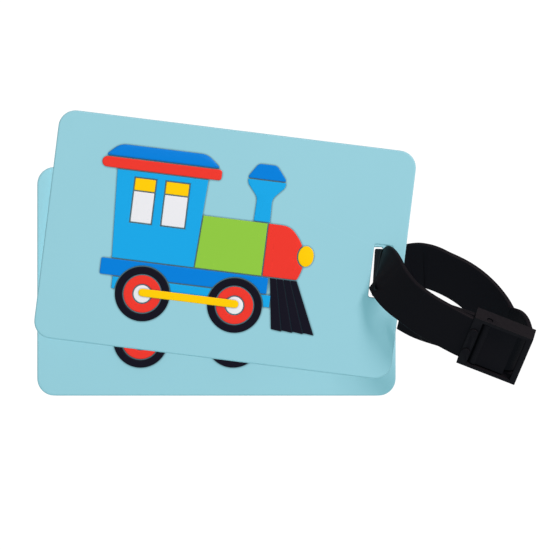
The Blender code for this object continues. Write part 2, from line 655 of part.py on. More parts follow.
def make_tongue(parent):
    """The hinged tongue, about its own pin: a barrel, a plate and two pegs."""
    half_width = STRAP_CHANNEL - 0.4
    plate_low = -TONGUE_THICKNESS / 2
    tongue = make_object(
        "buckle_tongue",
        block((0.2, TONGUE_LENGTH), (-half_width, half_width), (plate_low, -plate_low)),
        "buckle_black",
        parent,
    )
    barrel = turned([(BARREL_RADIUS, -half_width), (BARREL_RADIUS, half_width)], 24)
    barrel.transform(Matrix.Rotation(math.pi / 2, 4, "X"))
    combine(tongue, make_cutter("tongue_barrel", barrel, parent), "UNION")
    tip = -TAIL_DEPTH - STRAP_THICKNESS / 2 - PIN_N
    for side, v in (("low", -PEG_SPREAD), ("high", PEG_SPREAD)):
        peg = turned([(PEG_TIP_RADIUS, tip), (PEG_RADIUS, plate_low), (PEG_RADIUS, 0)], 16)
        peg.transform(Matrix.Translation((PEG_U - PIN_U, v, 0)))
        combine(tongue, make_cutter("tongue_peg_" + side, peg, parent), "UNION")
    bore = turned([(PIN_RADIUS + PIN_PLAY, -half_width - 1), (PIN_RADIUS + PIN_PLAY, half_width + 1)], 20)
    bore.transform(Matrix.Rotation(math.pi / 2, 4, "X"))
    combine(tongue, make_cutter("tongue_bore", bore, parent))


def centre_on_floor(root):
    """Moves the whole set so that the middle of its footprint is the origin and its lowest point is on Z = 0."""
    bpy.context.view_layer.update()
    graph = bpy.context.evaluated_depsgraph_get()
    low = Vector((math.inf,) * 3)
    high = Vector((-math.inf,) * 3)
    for item in bpy.data.objects:
        if item.type != "MESH" or item.hide_render:
            continue
        shape = item.evaluated_get(graph)
        for vertex in shape.data.vertices:
            point = shape.matrix_world @ vertex.co
            low = Vector(map(min, low, point))
            high = Vector(map(max, high, point))
    root.location = (-(low.x + high.x) / 2, -(low.y + high.y) / 2, -low.z)


def main():
    clear_scene()
    root = make_empty("tag_set", None, (0, 0, 0))
    make_tag("rear_tag", make_empty("rear_frame", root, (0, 0, 0)), SLOT_SHIFT)

    pivot = crossing_point()
    strap = make_empty("strap_fan", root, pivot)
    make_strap_band(strap, pivot)
    buckle = buckle_matrix()
    placed = make_empty("buckle", strap, (0, 0, 0))
    placed.matrix_local = Matrix.Translation((buckle.translation - pivot) * MM) @ buckle.to_3x3().to_4x4()
    make_buckle(placed)
    make_tongue(make_empty("tongue_hinge", placed, (PIN_U, 0, PIN_N)))

    slot = Vector((SLOT_X, 0, 0))
    flap_local = Vector((SLOT_X - SLOT_WIDTH / 2, 0, PLATE_LOW + PLATE_THICKNESS / 2))
    turn = Matrix.Rotation(FRONT_TURN, 4, "Z")
    centre = slot + Vector((*FRONT_SLOT_SHIFT, STACK_STEP)) - turn @ slot
    flap = make_empty("front_flap", strap, centre + turn @ flap_local - pivot, (0, 0, FRONT_TURN))
    make_tag("front_tag", make_empty("front_frame", flap, -flap_local), -SLOT_SHIFT)
    centre_on_floor(root)


main()
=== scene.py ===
"""Looks for a pair of soft PVC luggage tags on one buckled strap.

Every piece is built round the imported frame. Plates and relief panels are softened copies of their
nodes; the wheels, the cowcatcher and the strap are modelled here. Lengths are in metres, and a
value in millimetres is multiplied by MM.
"""

import json
import math

import bmesh
import bpy
from bpy.props import FloatProperty, FloatVectorProperty, IntProperty, PointerProperty
from mathutils import Matrix, Vector

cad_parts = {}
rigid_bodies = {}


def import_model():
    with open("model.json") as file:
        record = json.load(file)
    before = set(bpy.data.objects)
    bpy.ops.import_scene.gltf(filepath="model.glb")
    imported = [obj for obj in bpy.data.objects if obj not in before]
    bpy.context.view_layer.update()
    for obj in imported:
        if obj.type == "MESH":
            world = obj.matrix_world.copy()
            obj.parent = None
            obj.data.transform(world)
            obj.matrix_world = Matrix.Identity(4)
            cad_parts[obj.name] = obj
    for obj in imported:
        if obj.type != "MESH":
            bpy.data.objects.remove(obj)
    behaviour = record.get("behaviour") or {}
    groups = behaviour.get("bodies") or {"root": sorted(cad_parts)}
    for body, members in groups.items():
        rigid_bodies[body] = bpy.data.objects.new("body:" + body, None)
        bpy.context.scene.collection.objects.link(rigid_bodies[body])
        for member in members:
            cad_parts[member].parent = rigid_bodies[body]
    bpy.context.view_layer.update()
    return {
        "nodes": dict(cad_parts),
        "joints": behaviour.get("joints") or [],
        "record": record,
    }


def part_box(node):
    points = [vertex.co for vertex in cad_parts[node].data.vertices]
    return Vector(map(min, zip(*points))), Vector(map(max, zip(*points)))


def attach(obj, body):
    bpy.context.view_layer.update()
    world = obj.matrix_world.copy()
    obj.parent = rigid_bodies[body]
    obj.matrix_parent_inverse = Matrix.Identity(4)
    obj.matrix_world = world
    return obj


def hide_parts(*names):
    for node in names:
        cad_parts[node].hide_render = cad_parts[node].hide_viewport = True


bl_info = {
    "name": "Luggage Tag Pair",
    "version": (1, 0, 0),
    "blender": (4, 5, 0),
    "location": "3D View > Sidebar > Luggage Tag",
    "description": "Builds the visible pieces of two strapped luggage tags round their packed frame",
    "category": "Object",
}

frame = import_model()

MM = 0.001
TAGS = ("rear_tag", "front_tag")
STRAP_PIECES = ("strap_band", "buckle", "tongue_pin", "anchor_pin")
JOINTS = {joint["name"]: joint for joint in frame["joints"]}

# Sizes of the strap and buckle in millimetres, the same as the frame's.
BAND_WIDTH = 14.0
BAND_THICKNESS = 1.6
BEND_RADIUS = 1.5
LOOP_TILT = math.radians(32.0)
LOOP_END_RADIUS = 3.5
LOOP_END_INSET = 1.6
BUCKLE_FROM_CROSSING = (33.9, -21.8, 26.4)
BUCKLE_HEADING = math.atan2(-0.363, 0.932)
BUCKLE_LENGTH = 18.0
BRIDGE_LENGTH = 2.7
TAIL_DEPTH = 2.1
PEG_U = 2.2
PEG_SPREAD = 3.5

# Places on a tag's face in its own millimetres: X along the tag and Y up it, from the middle.
WHEEL_XS = (-22.2, 4.9)
WHEEL_Y = -17.3
TYRE_RADIUS = 8.0
TYRE_GAP = 0.3
SILL_SPAN = (-16.7, -13.2)
SILL_ENDS = (-31.4, 15.0)
CATCHER_TOP = ((14.1, -8.1), (22.1, -8.1))
CATCHER_FOOT = ((16.2, -23.2), (28.9, -23.2))
CATCHER_SLATS = 4
CATCHER_GROOVE = 0.12
CATCHER_FOOT_SKEW = 0.35
CATCHER_BACKING_INSET = 0.3
CATCHER_BACKING_HEIGHT = 0.5
CATCHER_BACKING_EDGE = 0.1

# Painted crevice shade: the reach and strength of the shade painted into narrow gaps, and the colour it
# darkens to among the bright pieces and on the strap.
CREVICE_REACH = 0.9 * MM
CREVICE_DEPTH = 0.8
PAINTED_SHADE_BLUE = (0.008, 0.020, 0.030, 1.0)
PAINTED_SHADE_BLACK = (0.001, 0.001, 0.0015, 1.0)

# The address cards' ruled lines: their distance in millimetres, and their share of it.
RULE_PITCH = 9.0
RULE_SHARE = 0.035
RULE_COLOUR = (0.28, 0.36, 0.42, 1.0)


# --- Settings ----------------------------------------------------------------------------------


def colour_property(name, description, default):
    return FloatVectorProperty(
        name=name, description=description, default=default, subtype="COLOR", size=3, min=0.0, max=1.0
    )


def length_property(name, description, default):
    return FloatProperty(
        name=name, description=description, default=default, unit="LENGTH", min=0.0, precision=5
    )


class TagFinishSettings(bpy.types.PropertyGroup):
    """Colours of the moulded PVC, the card and the strap"""

    tag_blue: colour_property("Tag blue", "Face plates and pocket frames", (0.272, 0.535, 0.610))
    deep_blue: colour_property("Deep blue", "Roof, chimney cap and running board", (0.0, 0.185, 0.610))
    cab_blue: colour_property("Cab blue", "Cab, chimney and sill", (0.008, 0.335, 0.690))
    leaf_green: colour_property("Leaf green", "Boiler", (0.245, 0.505, 0.048))
    signal_red: colour_property("Signal red", "Eave, smokebox and wheel discs", (0.755, 0.036, 0.024))
    sun_yellow: colour_property("Sun yellow", "Blinds, headlamp and coupling rod", (0.900, 0.530, 0.001))
    pane_white: colour_property("Pane white", "Window panes and hubs", (0.730, 0.720, 0.745))
    wheel_black: colour_property("Wheel black", "Tyres and cowcatcher", (0.0068, 0.0064, 0.0130))
    card_paper: colour_property("Card paper", "Address cards", (0.860, 0.850, 0.820))
    clear_window: colour_property("Clear window", "Window sheets", (0.93, 0.95, 0.96))
    strap_black: colour_property("Strap black", "Strap band", (0.0066, 0.0062, 0.0082))
    buckle_black: colour_property("Buckle black", "Buckle, tongue and pins", (0.0068, 0.0063, 0.0084))


class ReliefSettings(bpy.types.PropertyGroup):
    """How soft the moulded edges are"""

    plate_edge: length_property("Plate edge", "Radius of the face plates' edges", 0.45 * MM)
    relief_edge: length_property("Relief edge", "Radius of the raised pieces' edges", 0.28 * MM)
    roof_edge: length_property("Roof edge", "Radius of the roof's edges", 0.6 * MM)
    tyre_edge: length_property("Tyre edge", "Radius of the tyres' edges", 0.34 * MM)
    disc_edge: length_property("Disc edge", "Radius of the wheel discs' edges", 0.3 * MM)
    buckle_edge: length_property("Buckle edge", "Radius of the buckle's edges", 0.22 * MM)
    seat: length_property("Seat", "How far a raised piece reaches down into its plate", 0.28 * MM)
    wheel_segments: IntProperty(
        name="Wheel segments", description="Sides of each turned wheel", default=96, min=24, max=256
    )


class StrapSettings(bpy.types.PropertyGroup):
    """How finely the strap is made"""

    step: length_property("Step", "Distance between the band's sections", 0.55 * MM)
    edge: length_property("Band edge", "Radius of the band's long edges", 0.5 * MM)
    hole_radius: length_property("Hole radius", "Radius of the tail's peg holes", 1.5 * MM)
    hole_pitch: length_property("Hole pitch", "Distance from one pair of holes to the next", 6.0 * MM)
    hole_pairs: IntProperty(
        name="Hole pairs", description="Pairs of holes in the tail", default=5, min=1, max=8
    )


class StageSettings(bpy.types.PropertyGroup):
    """Camera, floor and light"""

    view_width: length_property("View width", "Width seen at the front tag's face", 160.35 * MM)
    camera_height: length_property("Camera height", "Camera's height over the front tag's face", 1.5)
    key_power: FloatProperty(
        name="Key light", description="Power of the soft key light", default=24.7, unit="POWER"
    )
    key_tint: colour_property("Key tint", "Colour of the key light", (1.0, 0.72, 0.71))
    fill_strength: FloatProperty(
        name="Fill light", description="Strength of the shadowless light from overhead", default=2.15
    )
    fill_tint: colour_property("Fill tint", "Colour left in the strap's shadow", (0.74, 0.96, 0.97))
    sky_strength: FloatProperty(
        name="Sky", description="Strength of the even light from all round", default=0.2
    )


# --- Shader effects shared by several materials ---------------------------------------------------


def new_group(name, inputs, outputs):
    """An empty node group with the named sockets."""
    tree = bpy.data.node_groups.new(name, "ShaderNodeTree")
    for label, kind, default in inputs:
        socket = tree.interface.new_socket(name=label, in_out="INPUT", socket_type=kind)
        socket.default_value = default
    for label, kind in outputs:
        tree.interface.new_socket(name=label, in_out="OUTPUT", socket_type=kind)
    tree.nodes.new("NodeGroupInput").name = "In"
    tree.nodes.new("NodeGroupOutput").name = "Out"
    return tree


def math_node(tree, operation, first, second):
    """A Math node whose inputs are sockets or numbers."""
    node = tree.nodes.new("ShaderNodeMath")
    node.operation = operation
    for slot, value in zip(node.inputs, (first, second)):
        if isinstance(value, (int, float)):
            slot.default_value = value
        else:
            tree.links.new(value, slot)
    return node.outputs[0]


def noise_node(tree, vector, scale, detail=2.0):
    """A Noise texture read at a position; scale is a socket or a number."""
    node = tree.nodes.new("ShaderNodeTexNoise")
    node.inputs["Detail"].default_value = detail
    tree.links.new(vector, node.inputs["Vector"])
    if isinstance(scale, (int, float)):
        node.inputs["Scale"].default_value = scale
    else:
        tree.links.new(scale, node.inputs["Scale"])
    return node.outputs["Fac"]


def moulded_pvc_group():
    """Soft PVC skin: a faint cloudiness in the colour, an uneven matt gloss and a fine pore grain."""
    name = "Moulded PVC skin"
    if name in bpy.data.node_groups:
        return bpy.data.node_groups[name]
    tree = new_group(
        name,
        [
            ("Colour", "NodeSocketColor", (0.5, 0.5, 0.5, 1.0)),
            ("Cloud", "NodeSocketFloat", 0.03),
            ("Grain Scale", "NodeSocketFloat", 5200.0),
            ("Matt", "NodeSocketFloat", 0.5),
        ],
        [("Colour", "NodeSocketColor"), ("Roughness", "NodeSocketFloat"), ("Height", "NodeSocketFloat")],
    )
    given = tree.nodes["In"].outputs
    result = tree.nodes["Out"].inputs
    place = tree.nodes.new("ShaderNodeTexCoord").outputs["Object"]
    cloud = noise_node(tree, place, 46.0, 3.0)
    spread = math_node(tree, "MULTIPLY", math_node(tree, "SUBTRACT", cloud, 0.5), given["Cloud"])
    shade = tree.nodes.new("ShaderNodeHueSaturation")
    tree.links.new(given["Colour"], shade.inputs["Color"])
    tree.links.new(math_node(tree, "ADD", spread, 1.0), shade.inputs["Value"])
    tree.links.new(shade.outputs["Color"], result["Colour"])
    smear = noise_node(tree, place, 210.0, 4.0)
    matt = math_node(tree, "ADD", given["Matt"], math_node(tree, "MULTIPLY", smear, 0.12))
    tree.links.new(matt, result["Roughness"])
    pores = noise_node(tree, place, given["Grain Scale"], 1.0)
    swell = noise_node(tree, place, 620.0, 2.0)
    fine = math_node(tree, "MULTIPLY", pores, 0.6)
    broad = math_node(tree, "MULTIPLY", swell, 0.4)
    tree.links.new(math_node(tree, "ADD", fine, broad), result["Height"])
    return tree


def painted_edge_highlight_group():
    """Paints a highlight into the colour: lighter where corners stick out, broken up by noise."""
    name = "Edge rub"
    if name in bpy.data.node_groups:
        return bpy.data.node_groups[name]
    tree = new_group(
        name,
        [
            ("Colour", "NodeSocketColor", (0.5, 0.5, 0.5, 1.0)),
            ("Rub Colour", "NodeSocketColor", (0.6, 0.6, 0.6, 1.0)),
            ("Amount", "NodeSocketFloat", 0.3),
        ],
        [("Colour", "NodeSocketColor")],
    )
    given = tree.nodes["In"].outputs
    result = tree.nodes["Out"].inputs
    point = tree.nodes.new("ShaderNodeNewGeometry").outputs["Pointiness"]
    ramp = tree.nodes.new("ShaderNodeMapRange")
    ramp.inputs["From Min"].default_value = 0.52
    ramp.inputs["From Max"].default_value = 0.60
    tree.links.new(point, ramp.inputs["Value"])
    place = tree.nodes.new("ShaderNodeTexCoord").outputs["Object"]
    broken = math_node(tree, "MULTIPLY", noise_node(tree, place, 900.0, 3.0), given["Amount"])
    mask = math_node(tree, "MULTIPLY", ramp.outputs["Result"], broken)
    mix = tree.nodes.new("ShaderNodeMix")
    mix.data_type = "RGBA"
    tree.links.new(mask, mix.inputs["Factor"])
    tree.links.new(given["Colour"], mix.inputs["A"])
    tree.links.new(given["Rub Colour"], mix.inputs["B"])
    tree.links.new(mix.outputs["Result"], result["Colour"])
    return tree


def painted_crevice_shade_group():
    """Paints shade into the colour: darkens narrow gaps and the foot of raised pieces by how occluded they
    are.
    """
    name = "Crevice shade"
    if name in bpy.data.node_groups:
        return bpy.data.node_groups[name]
    tree = new_group(
        name,
        [
            ("Colour", "NodeSocketColor", (0.5, 0.5, 0.5, 1.0)),
            ("Shade", "NodeSocketColor", PAINTED_SHADE_BLUE),
            ("Reach", "NodeSocketFloat", CREVICE_REACH),
            ("Depth", "NodeSocketFloat", CREVICE_DEPTH),
        ],
        [("Colour", "NodeSocketColor")],
    )
    given = tree.nodes["In"].outputs
    result = tree.nodes["Out"].inputs
    near = tree.nodes.new("ShaderNodeAmbientOcclusion")
    near.samples = 12
    tree.links.new(given["Reach"], near.inputs["Distance"])
    ramp = tree.nodes.new("ShaderNodeMapRange")
    ramp.inputs["From Min"].default_value = 0.35
    ramp.inputs["From Max"].default_value = 0.85
    ramp.inputs["To Min"].default_value = 1.0
    ramp.inputs["To Max"].default_value = 0.0
    tree.links.new(near.outputs["AO"], ramp.inputs["Value"])
    mask = math_node(tree, "MULTIPLY", ramp.outputs["Result"], given["Depth"])
    mix = tree.nodes.new("ShaderNodeMix")
    mix.data_type = "RGBA"
    tree.links.new(mask, mix.inputs["Factor"])
    tree.links.new(given["Colour"], mix.inputs["A"])
    tree.links.new(given["Shade"], mix.inputs["B"])
    tree.links.new(mix.outputs["Result"], result["Colour"])
    return tree


# --- Materials -------------------------------------------------------------------------------------


def new_material(name):
    """A material with its Principled shader and its output."""
    material = bpy.data.materials.new(name)
    material.use_nodes = True
    tree = material.node_tree
    tree.nodes.clear()
    shader = tree.nodes.new("ShaderNodeBsdfPrincipled")
    output = tree.nodes.new("ShaderNodeOutputMaterial")
    tree.links.new(shader.outputs["BSDF"], output.inputs["Surface"])
    return material, tree, shader


def place_group(tree, group, values):
    """Puts a node group into a material and sets its inputs."""
    node = tree.nodes.new("ShaderNodeGroup")
    node.node_tree = group
    for label, value in values.items():
        node.inputs[label].default_value = value
    return node


def bump_from(tree, height, shader, strength, distance):
    """Bumps the shader's surface by a height socket."""
    bump = tree.nodes.new("ShaderNodeBump")
    bump.inputs["Strength"].default_value = strength
    bump.inputs["Distance"].default_value = distance
    tree.links.new(height, bump.inputs["Height"])
    tree.links.new(bump.outputs["Normal"], shader.inputs["Normal"])


def pvc_material(slot, matt=0.5, cloud=0.03, grain=5200.0, bump=0.25, edge_highlight=0.25, gloss=0.12, shade=PAINTED_SHADE_BLUE):
    """Moulded PVC in one of the set's colours, with a painted highlight on its edges and painted shade in its
    crevices.
    """
    name = "finish_" + slot
    if name in bpy.data.materials:
        return bpy.data.materials[name]
    colour = (*getattr(bpy.context.scene.tag_finish, slot), 1.0)
    material, tree, shader = new_material(name)
    highlight_colour = tuple(min(1.0, c * 1.15 + 0.035) for c in colour[:3]) + (1.0,)
    skin = place_group(
        tree, moulded_pvc_group(), {"Colour": colour, "Cloud": cloud, "Grain Scale": grain, "Matt": matt}
    )
    # Painted highlight: sharp edges take a lighter copy of the colour.
    edge = place_group(tree, painted_edge_highlight_group(), {"Rub Colour": highlight_colour, "Amount": edge_highlight})
    tree.links.new(skin.outputs["Colour"], edge.inputs["Colour"])
    # Painted shade: narrow gaps and the foot of raised pieces darken towards the shade colour.
    crevice = place_group(
        tree, painted_crevice_shade_group(), {"Shade": shade, "Reach": CREVICE_REACH, "Depth": CREVICE_DEPTH}
    )
    tree.links.new(edge.outputs["Colour"], crevice.inputs["Colour"])
    tree.links.new(crevice.outputs["Colour"], shader.inputs["Base Color"])
    tree.links.new(skin.outputs["Roughness"], shader.inputs["Roughness"])
    bump_from(tree, skin.outputs["Height"], shader, bump, 0.02 * MM)
    shader.inputs["Specular IOR Level"].default_value = gloss
    return material


def card_material():
    """Uncoated card: paper fibres and evenly spaced ruled lines for an address."""
    name = "finish_card_paper"
    if name in bpy.data.materials:
        return bpy.data.materials[name]
    colour = (*bpy.context.scene.tag_finish.card_paper, 1.0)
    material, tree, shader = new_material(name)
    place = tree.nodes.new("ShaderNodeTexCoord").outputs["Object"]
    fibres = noise_node(tree, place, 2400.0, 6.0)
    split = tree.nodes.new("ShaderNodeSeparateXYZ")
    tree.links.new(place, split.inputs[0])
    rows = math_node(tree, "MULTIPLY", split.outputs["Y"], 1 / (RULE_PITCH * MM))
    line = math_node(tree, "LESS_THAN", math_node(tree, "FRACT", rows, 0.0), RULE_SHARE)
    mix = tree.nodes.new("ShaderNodeMix")
    mix.data_type = "RGBA"
    tree.links.new(math_node(tree, "MULTIPLY", line, 0.75), mix.inputs["Factor"])
    mix.inputs["A"].default_value = colour
    mix.inputs["B"].default_value = RULE_COLOUR
    tree.links.new(mix.outputs["Result"], shader.inputs["Base Color"])
    rough = math_node(tree, "ADD", math_node(tree, "MULTIPLY", fibres, 0.15), 0.75)
    tree.links.new(rough, shader.inputs["Roughness"])
    bump_from(tree, fibres, shader, 0.2, 0.02 * MM)
    return material


def window_material():
    """Clear flexible PVC sheet, slightly rippled."""
    name = "finish_clear_window"
    if name in bpy.data.materials:
        return bpy.data.materials[name]
    material, tree, shader = new_material(name)
    shader.inputs["Base Color"].default_value = (*bpy.context.scene.tag_finish.clear_window, 1.0)
    shader.inputs["Roughness"].default_value = 0.06
    shader.inputs["Transmission Weight"].default_value = 1.0
    shader.inputs["IOR"].default_value = 1.45
    place = tree.nodes.new("ShaderNodeTexCoord").outputs["Object"]
    bump_from(tree, noise_node(tree, place, 60.0, 2.0), shader, 0.15, 0.1 * MM)
    return material


def black_material(slot, grain, bump, edge_highlight):
    """The strap's and buckle's black, with a pale painted highlight on its edges."""
    return pvc_material(
        slot, matt=0.42, cloud=0.2, grain=grain, bump=bump, edge_highlight=edge_highlight, gloss=0.06, shade=PAINTED_SHADE_BLACK
    )


def material_for(slot):
    """The finish for one of the record's material slots."""
    if slot == "card_paper":
        return card_material()
    if slot == "clear_window":
        return window_material()
    if slot == "strap_black":
        return black_material(slot, 4200.0, 0.35, 0.3)
    if slot == "buckle_black":
        return black_material(slot, 3000.0, 0.3, 0.15)
    if slot == "wheel_black":
        return pvc_material(slot, matt=0.42, cloud=0.1, gloss=0.08)
    return pvc_material(slot)


# --- Mesh helpers --------------------------------------------------------------------------------------


def add_piece(node, bm, body):
    """Makes the piece that stands in for a node, with the node's finish, and makes it ride on its body."""
    name = node + "_skin"
    slot = node_slot(node)
    bmesh.ops.recalc_face_normals(bm, faces=bm.faces)
    mesh = bpy.data.meshes.new(name)
    bm.to_mesh(mesh)
    bm.free()
    mesh.shade_smooth()
    mesh.set_sharp_from_angle(angle=math.radians(35))
    mesh.materials.append(material_for(slot))
    piece = bpy.data.objects.new(name, mesh)
    bpy.context.scene.collection.objects.link(piece)
    # The front tag throws no bounced light, so the rear tag keeps an even tone beneath it.
    piece.visible_diffuse = body != "front_tag"
    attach(piece, body)
    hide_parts(node)
    return piece


def soften(piece, width, segments=3, angle=40.0):
    """Rounds the sharp edges of a piece, and keeps its flat faces flat."""
    bevel = piece.modifiers.new("Moulded edge", "BEVEL")
    bevel.width = width
    bevel.segments = segments
    bevel.limit_method = "ANGLE"
    bevel.angle_limit = math.radians(angle)
    bevel.harden_normals = True
    bevel.use_clamp_overlap = True


def welded_node(node):
    """A node's mesh with its seams welded."""
    bm = bmesh.new()
    bm.from_mesh(frame["nodes"][node].data)
    bmesh.ops.remove_doubles(bm, verts=bm.verts, dist=0.002 * MM)
    return bm


def node_slot(node):
    """The record's material slot of a node."""
    for entry in frame["record"]["subparts"]:
        if entry["node"] == node:
            return entry["material_slot"]
    raise ValueError("no subpart entry for " + node)


def moulded_piece(node, body, width, segments=3):
    """A softened stand-in for a node of any shape."""
    bm = welded_node(node)
    bmesh.ops.dissolve_limit(bm, angle_limit=math.radians(0.5), verts=bm.verts, edges=bm.edges)
    soften(add_piece(node, bm, body), width, segments)


def face_outlines(node):
    """The outlines of a node's upper face, the outer one and its holes, and the face's height."""
    bm = welded_node(node)
    top = max(v.co.z for v in bm.verts)
    upper = {f for f in bm.faces if f.normal.z > 0.9 and f.calc_center_median().z > top - 0.01 * MM}
    following = {}
    for face in upper:
        for loop in face.loops:
            if len(upper.intersection(loop.edge.link_faces)) == 1:
                following[loop.vert.index] = loop.link_loop_next.vert.index
    places = {v.index: v.co.xy.copy() for v in bm.verts}
    bm.free()
    outlines = []
    while following:
        first, here = following.popitem()
        outline = [places[first]]
        while here != first:
            outline.append(places[here])
            here = following.pop(here)
        outlines.append(outline)
    return outlines, top


def turning(before, here, after):
    """How far an outline turns at a point, in radians."""
    return abs((here - before).angle_signed(after - here, 0.0))


def faired(outline, rounds=2, reach=0.5 * MM):
    """The outline with its shallow corners cut into a curve; square corners and long edges stay."""
    count = len(outline)
    outline = [
        here
        for k, here in enumerate(outline)
        if turning(outline[k - 1], here, outline[(k + 1) % count]) > math.radians(0.2)
    ]
    for _ in range(rounds):
        count = len(outline)
        curve = []
        for k, here in enumerate(outline):
            before, after = outline[k - 1], outline[(k + 1) % count]
            if turning(before, here, after) > math.radians(50):
                curve.append(here)
                continue
            for other in (before, after):
                way = other - here
                curve.append(here + way * min(0.25, reach / way.length))
        outline = curve
    return outline


def inset(outline, distance):
    """The outline moved inwards, to the left of its direction."""
    moved = []
    count = len(outline)
    for k, here in enumerate(outline):
        ahead = (outline[(k + 1) % count] - here).normalized()
        back = (here - outline[k - 1]).normalized()
        side = Vector((-ahead.y - back.y, ahead.x + back.x)).normalized()
        lean = max(0.35, side.dot(Vector((-ahead.y, ahead.x))))
        moved.append(here + side * (distance / lean))
    return moved


def pillow(outlines, low, high, radius, round_below=False, steps=4):
    """A slab with a rounded upper rim, and a rounded lower rim too if asked."""
    bm = bmesh.new()
    turns = [math.radians(90 * k / steps) for k in range(steps + 1)]
    profile = [(radius * (1 - math.cos(a)), high - radius + radius * math.sin(a)) for a in turns]
    if round_below:
        lower_rim = [(radius * (1 - math.cos(a)), low + radius * (1 - math.sin(a))) for a in turns[::-1]]
        profile = lower_rim + profile
    else:
        profile = [(0.0, low)] + profile
    rims = ([], [])
    for outline in outlines:
        rings = []
        for distance, height in profile:
            rings.append([bm.verts.new((*point, height)) for point in inset(outline, distance)])
        count = len(outline)
        for lower, upper in zip(rings, rings[1:]):
            for k in range(count):
                nxt = (k + 1) % count
                bm.faces.new((lower[k], lower[nxt], upper[nxt], upper[k]))
        for rim, ring in zip(rims, (rings[0], rings[-1])):
            rim.extend(bm.edges.get((ring[k - 1], ring[k])) for k in range(count))
    for rim in rims:
        bmesh.ops.triangle_fill(bm, edges=rim, use_beauty=True)
    return bm


def even_shading(piece):
    """Keeps flat faces flat beside rounded rims."""
    weighted = piece.modifiers.new("Even shading", "WEIGHTED_NORMAL")
    weighted.keep_sharp = True
    weighted.weight = 100


def relief_piece(node, body, radius, seat, extra=()):
    """A raised panel from a node's outline and any extra ones, with a soft rim, seated in its plate."""
    outlines, top = face_outlines(node)
    low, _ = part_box(node)
    bm = pillow([faired(outline) for outline in outlines], low.z - seat, top, radius)
    for outline in extra:
        join_into(bm, pillow([outline], low.z - seat, top, radius))
    even_shading(add_piece(node, bm, body))


def join_into(bm, other):
    """Adds another shape's mesh to this one."""
    mesh = bpy.data.meshes.new("joined")
    other.to_mesh(mesh)
    other.free()
    bm.from_mesh(mesh)
    bpy.data.meshes.remove(mesh)


def lathe(profile, segments, matrix):
    """A ring turned about Z from a closed section of radius and height pairs; radius 0 makes it a disc."""
    bm = bmesh.new()
    turns = [2 * math.pi * k / segments for k in range(segments)]
    rings = []
    for radius, height in profile:
        if radius < 1e-9:
            rings.append([bm.verts.new((0.0, 0.0, height))])
        else:
            rings.append([bm.verts.new((radius * math.cos(a), radius * math.sin(a), height)) for a in turns])
    for lower, upper in zip(rings, rings[1:] + rings[:1]):
        for k in range(segments):
            nxt = (k + 1) % segments
            picks = ((lower, k), (lower, nxt), (upper, nxt), (upper, k))
            corners = list(dict.fromkeys(ring[place % len(ring)] for ring, place in picks))
            if len(corners) > 2:
                bm.faces.new(corners)
    bm.transform(matrix)
    return bm


def arc(centre, radius, start, end, steps=5):
    """Points on an arc, angles in degrees."""
    turns = [math.radians(start + (end - start) * k / steps) for k in range(steps + 1)]
    return [(centre[0] + radius * math.cos(a), centre[1] + radius * math.sin(a)) for a in turns]


def tag_frame(tag):
    """A tag's own frame: X along it, Y up its face, and its origin in the face's middle."""
    low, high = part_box(tag + "_face_plate")
    matrix = Matrix.Identity(4)
    if tag == "front_tag":
        up = Vector(JOINTS["front_tag_flap"]["axis"]).normalized()
        matrix = Matrix((Vector((up.y, -up.x, 0.0)), up, Vector((0.0, 0.0, 1.0)))).transposed().to_4x4()
    matrix.translation = Vector(((low.x + high.x) / 2, (low.y + high.y) / 2, high.z))
    return matrix


def placed(tag, outline):
    """An outline in a tag's own millimetres, moved to where the tag lies."""
    matrix = tag_frame(tag)
    return [(matrix @ Vector((x * MM, y * MM, 0.0))).xy for x, y in outline]


def round_sizes(node):
    """A round node's centre, radius and lowest and highest level."""
    low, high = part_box(node)
    centre = Vector(((low.x + high.x) / 2, (low.y + high.y) / 2, 0.0))
    return centre, (high.x - low.x) / 2, low.z, high.z


# --- The strap's route, the same as the frame's band ----------------------------------------------


def buckle_matrix():
    """The buckle's frame: columns U along the strap, V across it and N outwards, and its centre."""
    along = Vector((math.cos(BUCKLE_HEADING), math.sin(BUCKLE_HEADING), 0.0))
    across = Vector((-along.y * math.cos(LOOP_TILT), along.x * math.cos(LOOP_TILT), math.sin(LOOP_TILT)))
    matrix = Matrix((along, across, along.cross(across))).transposed().to_4x4()
    matrix.translation = (crossing_point() + Vector(BUCKLE_FROM_CROSSING)) * MM
    return matrix


def crossing_point():
    """Where the strap passes through both slots, in millimetres."""
    x, y, _ = JOINTS["strap_fan"]["pos_m"]
    return Vector((x / MM, y / MM, 0.0))


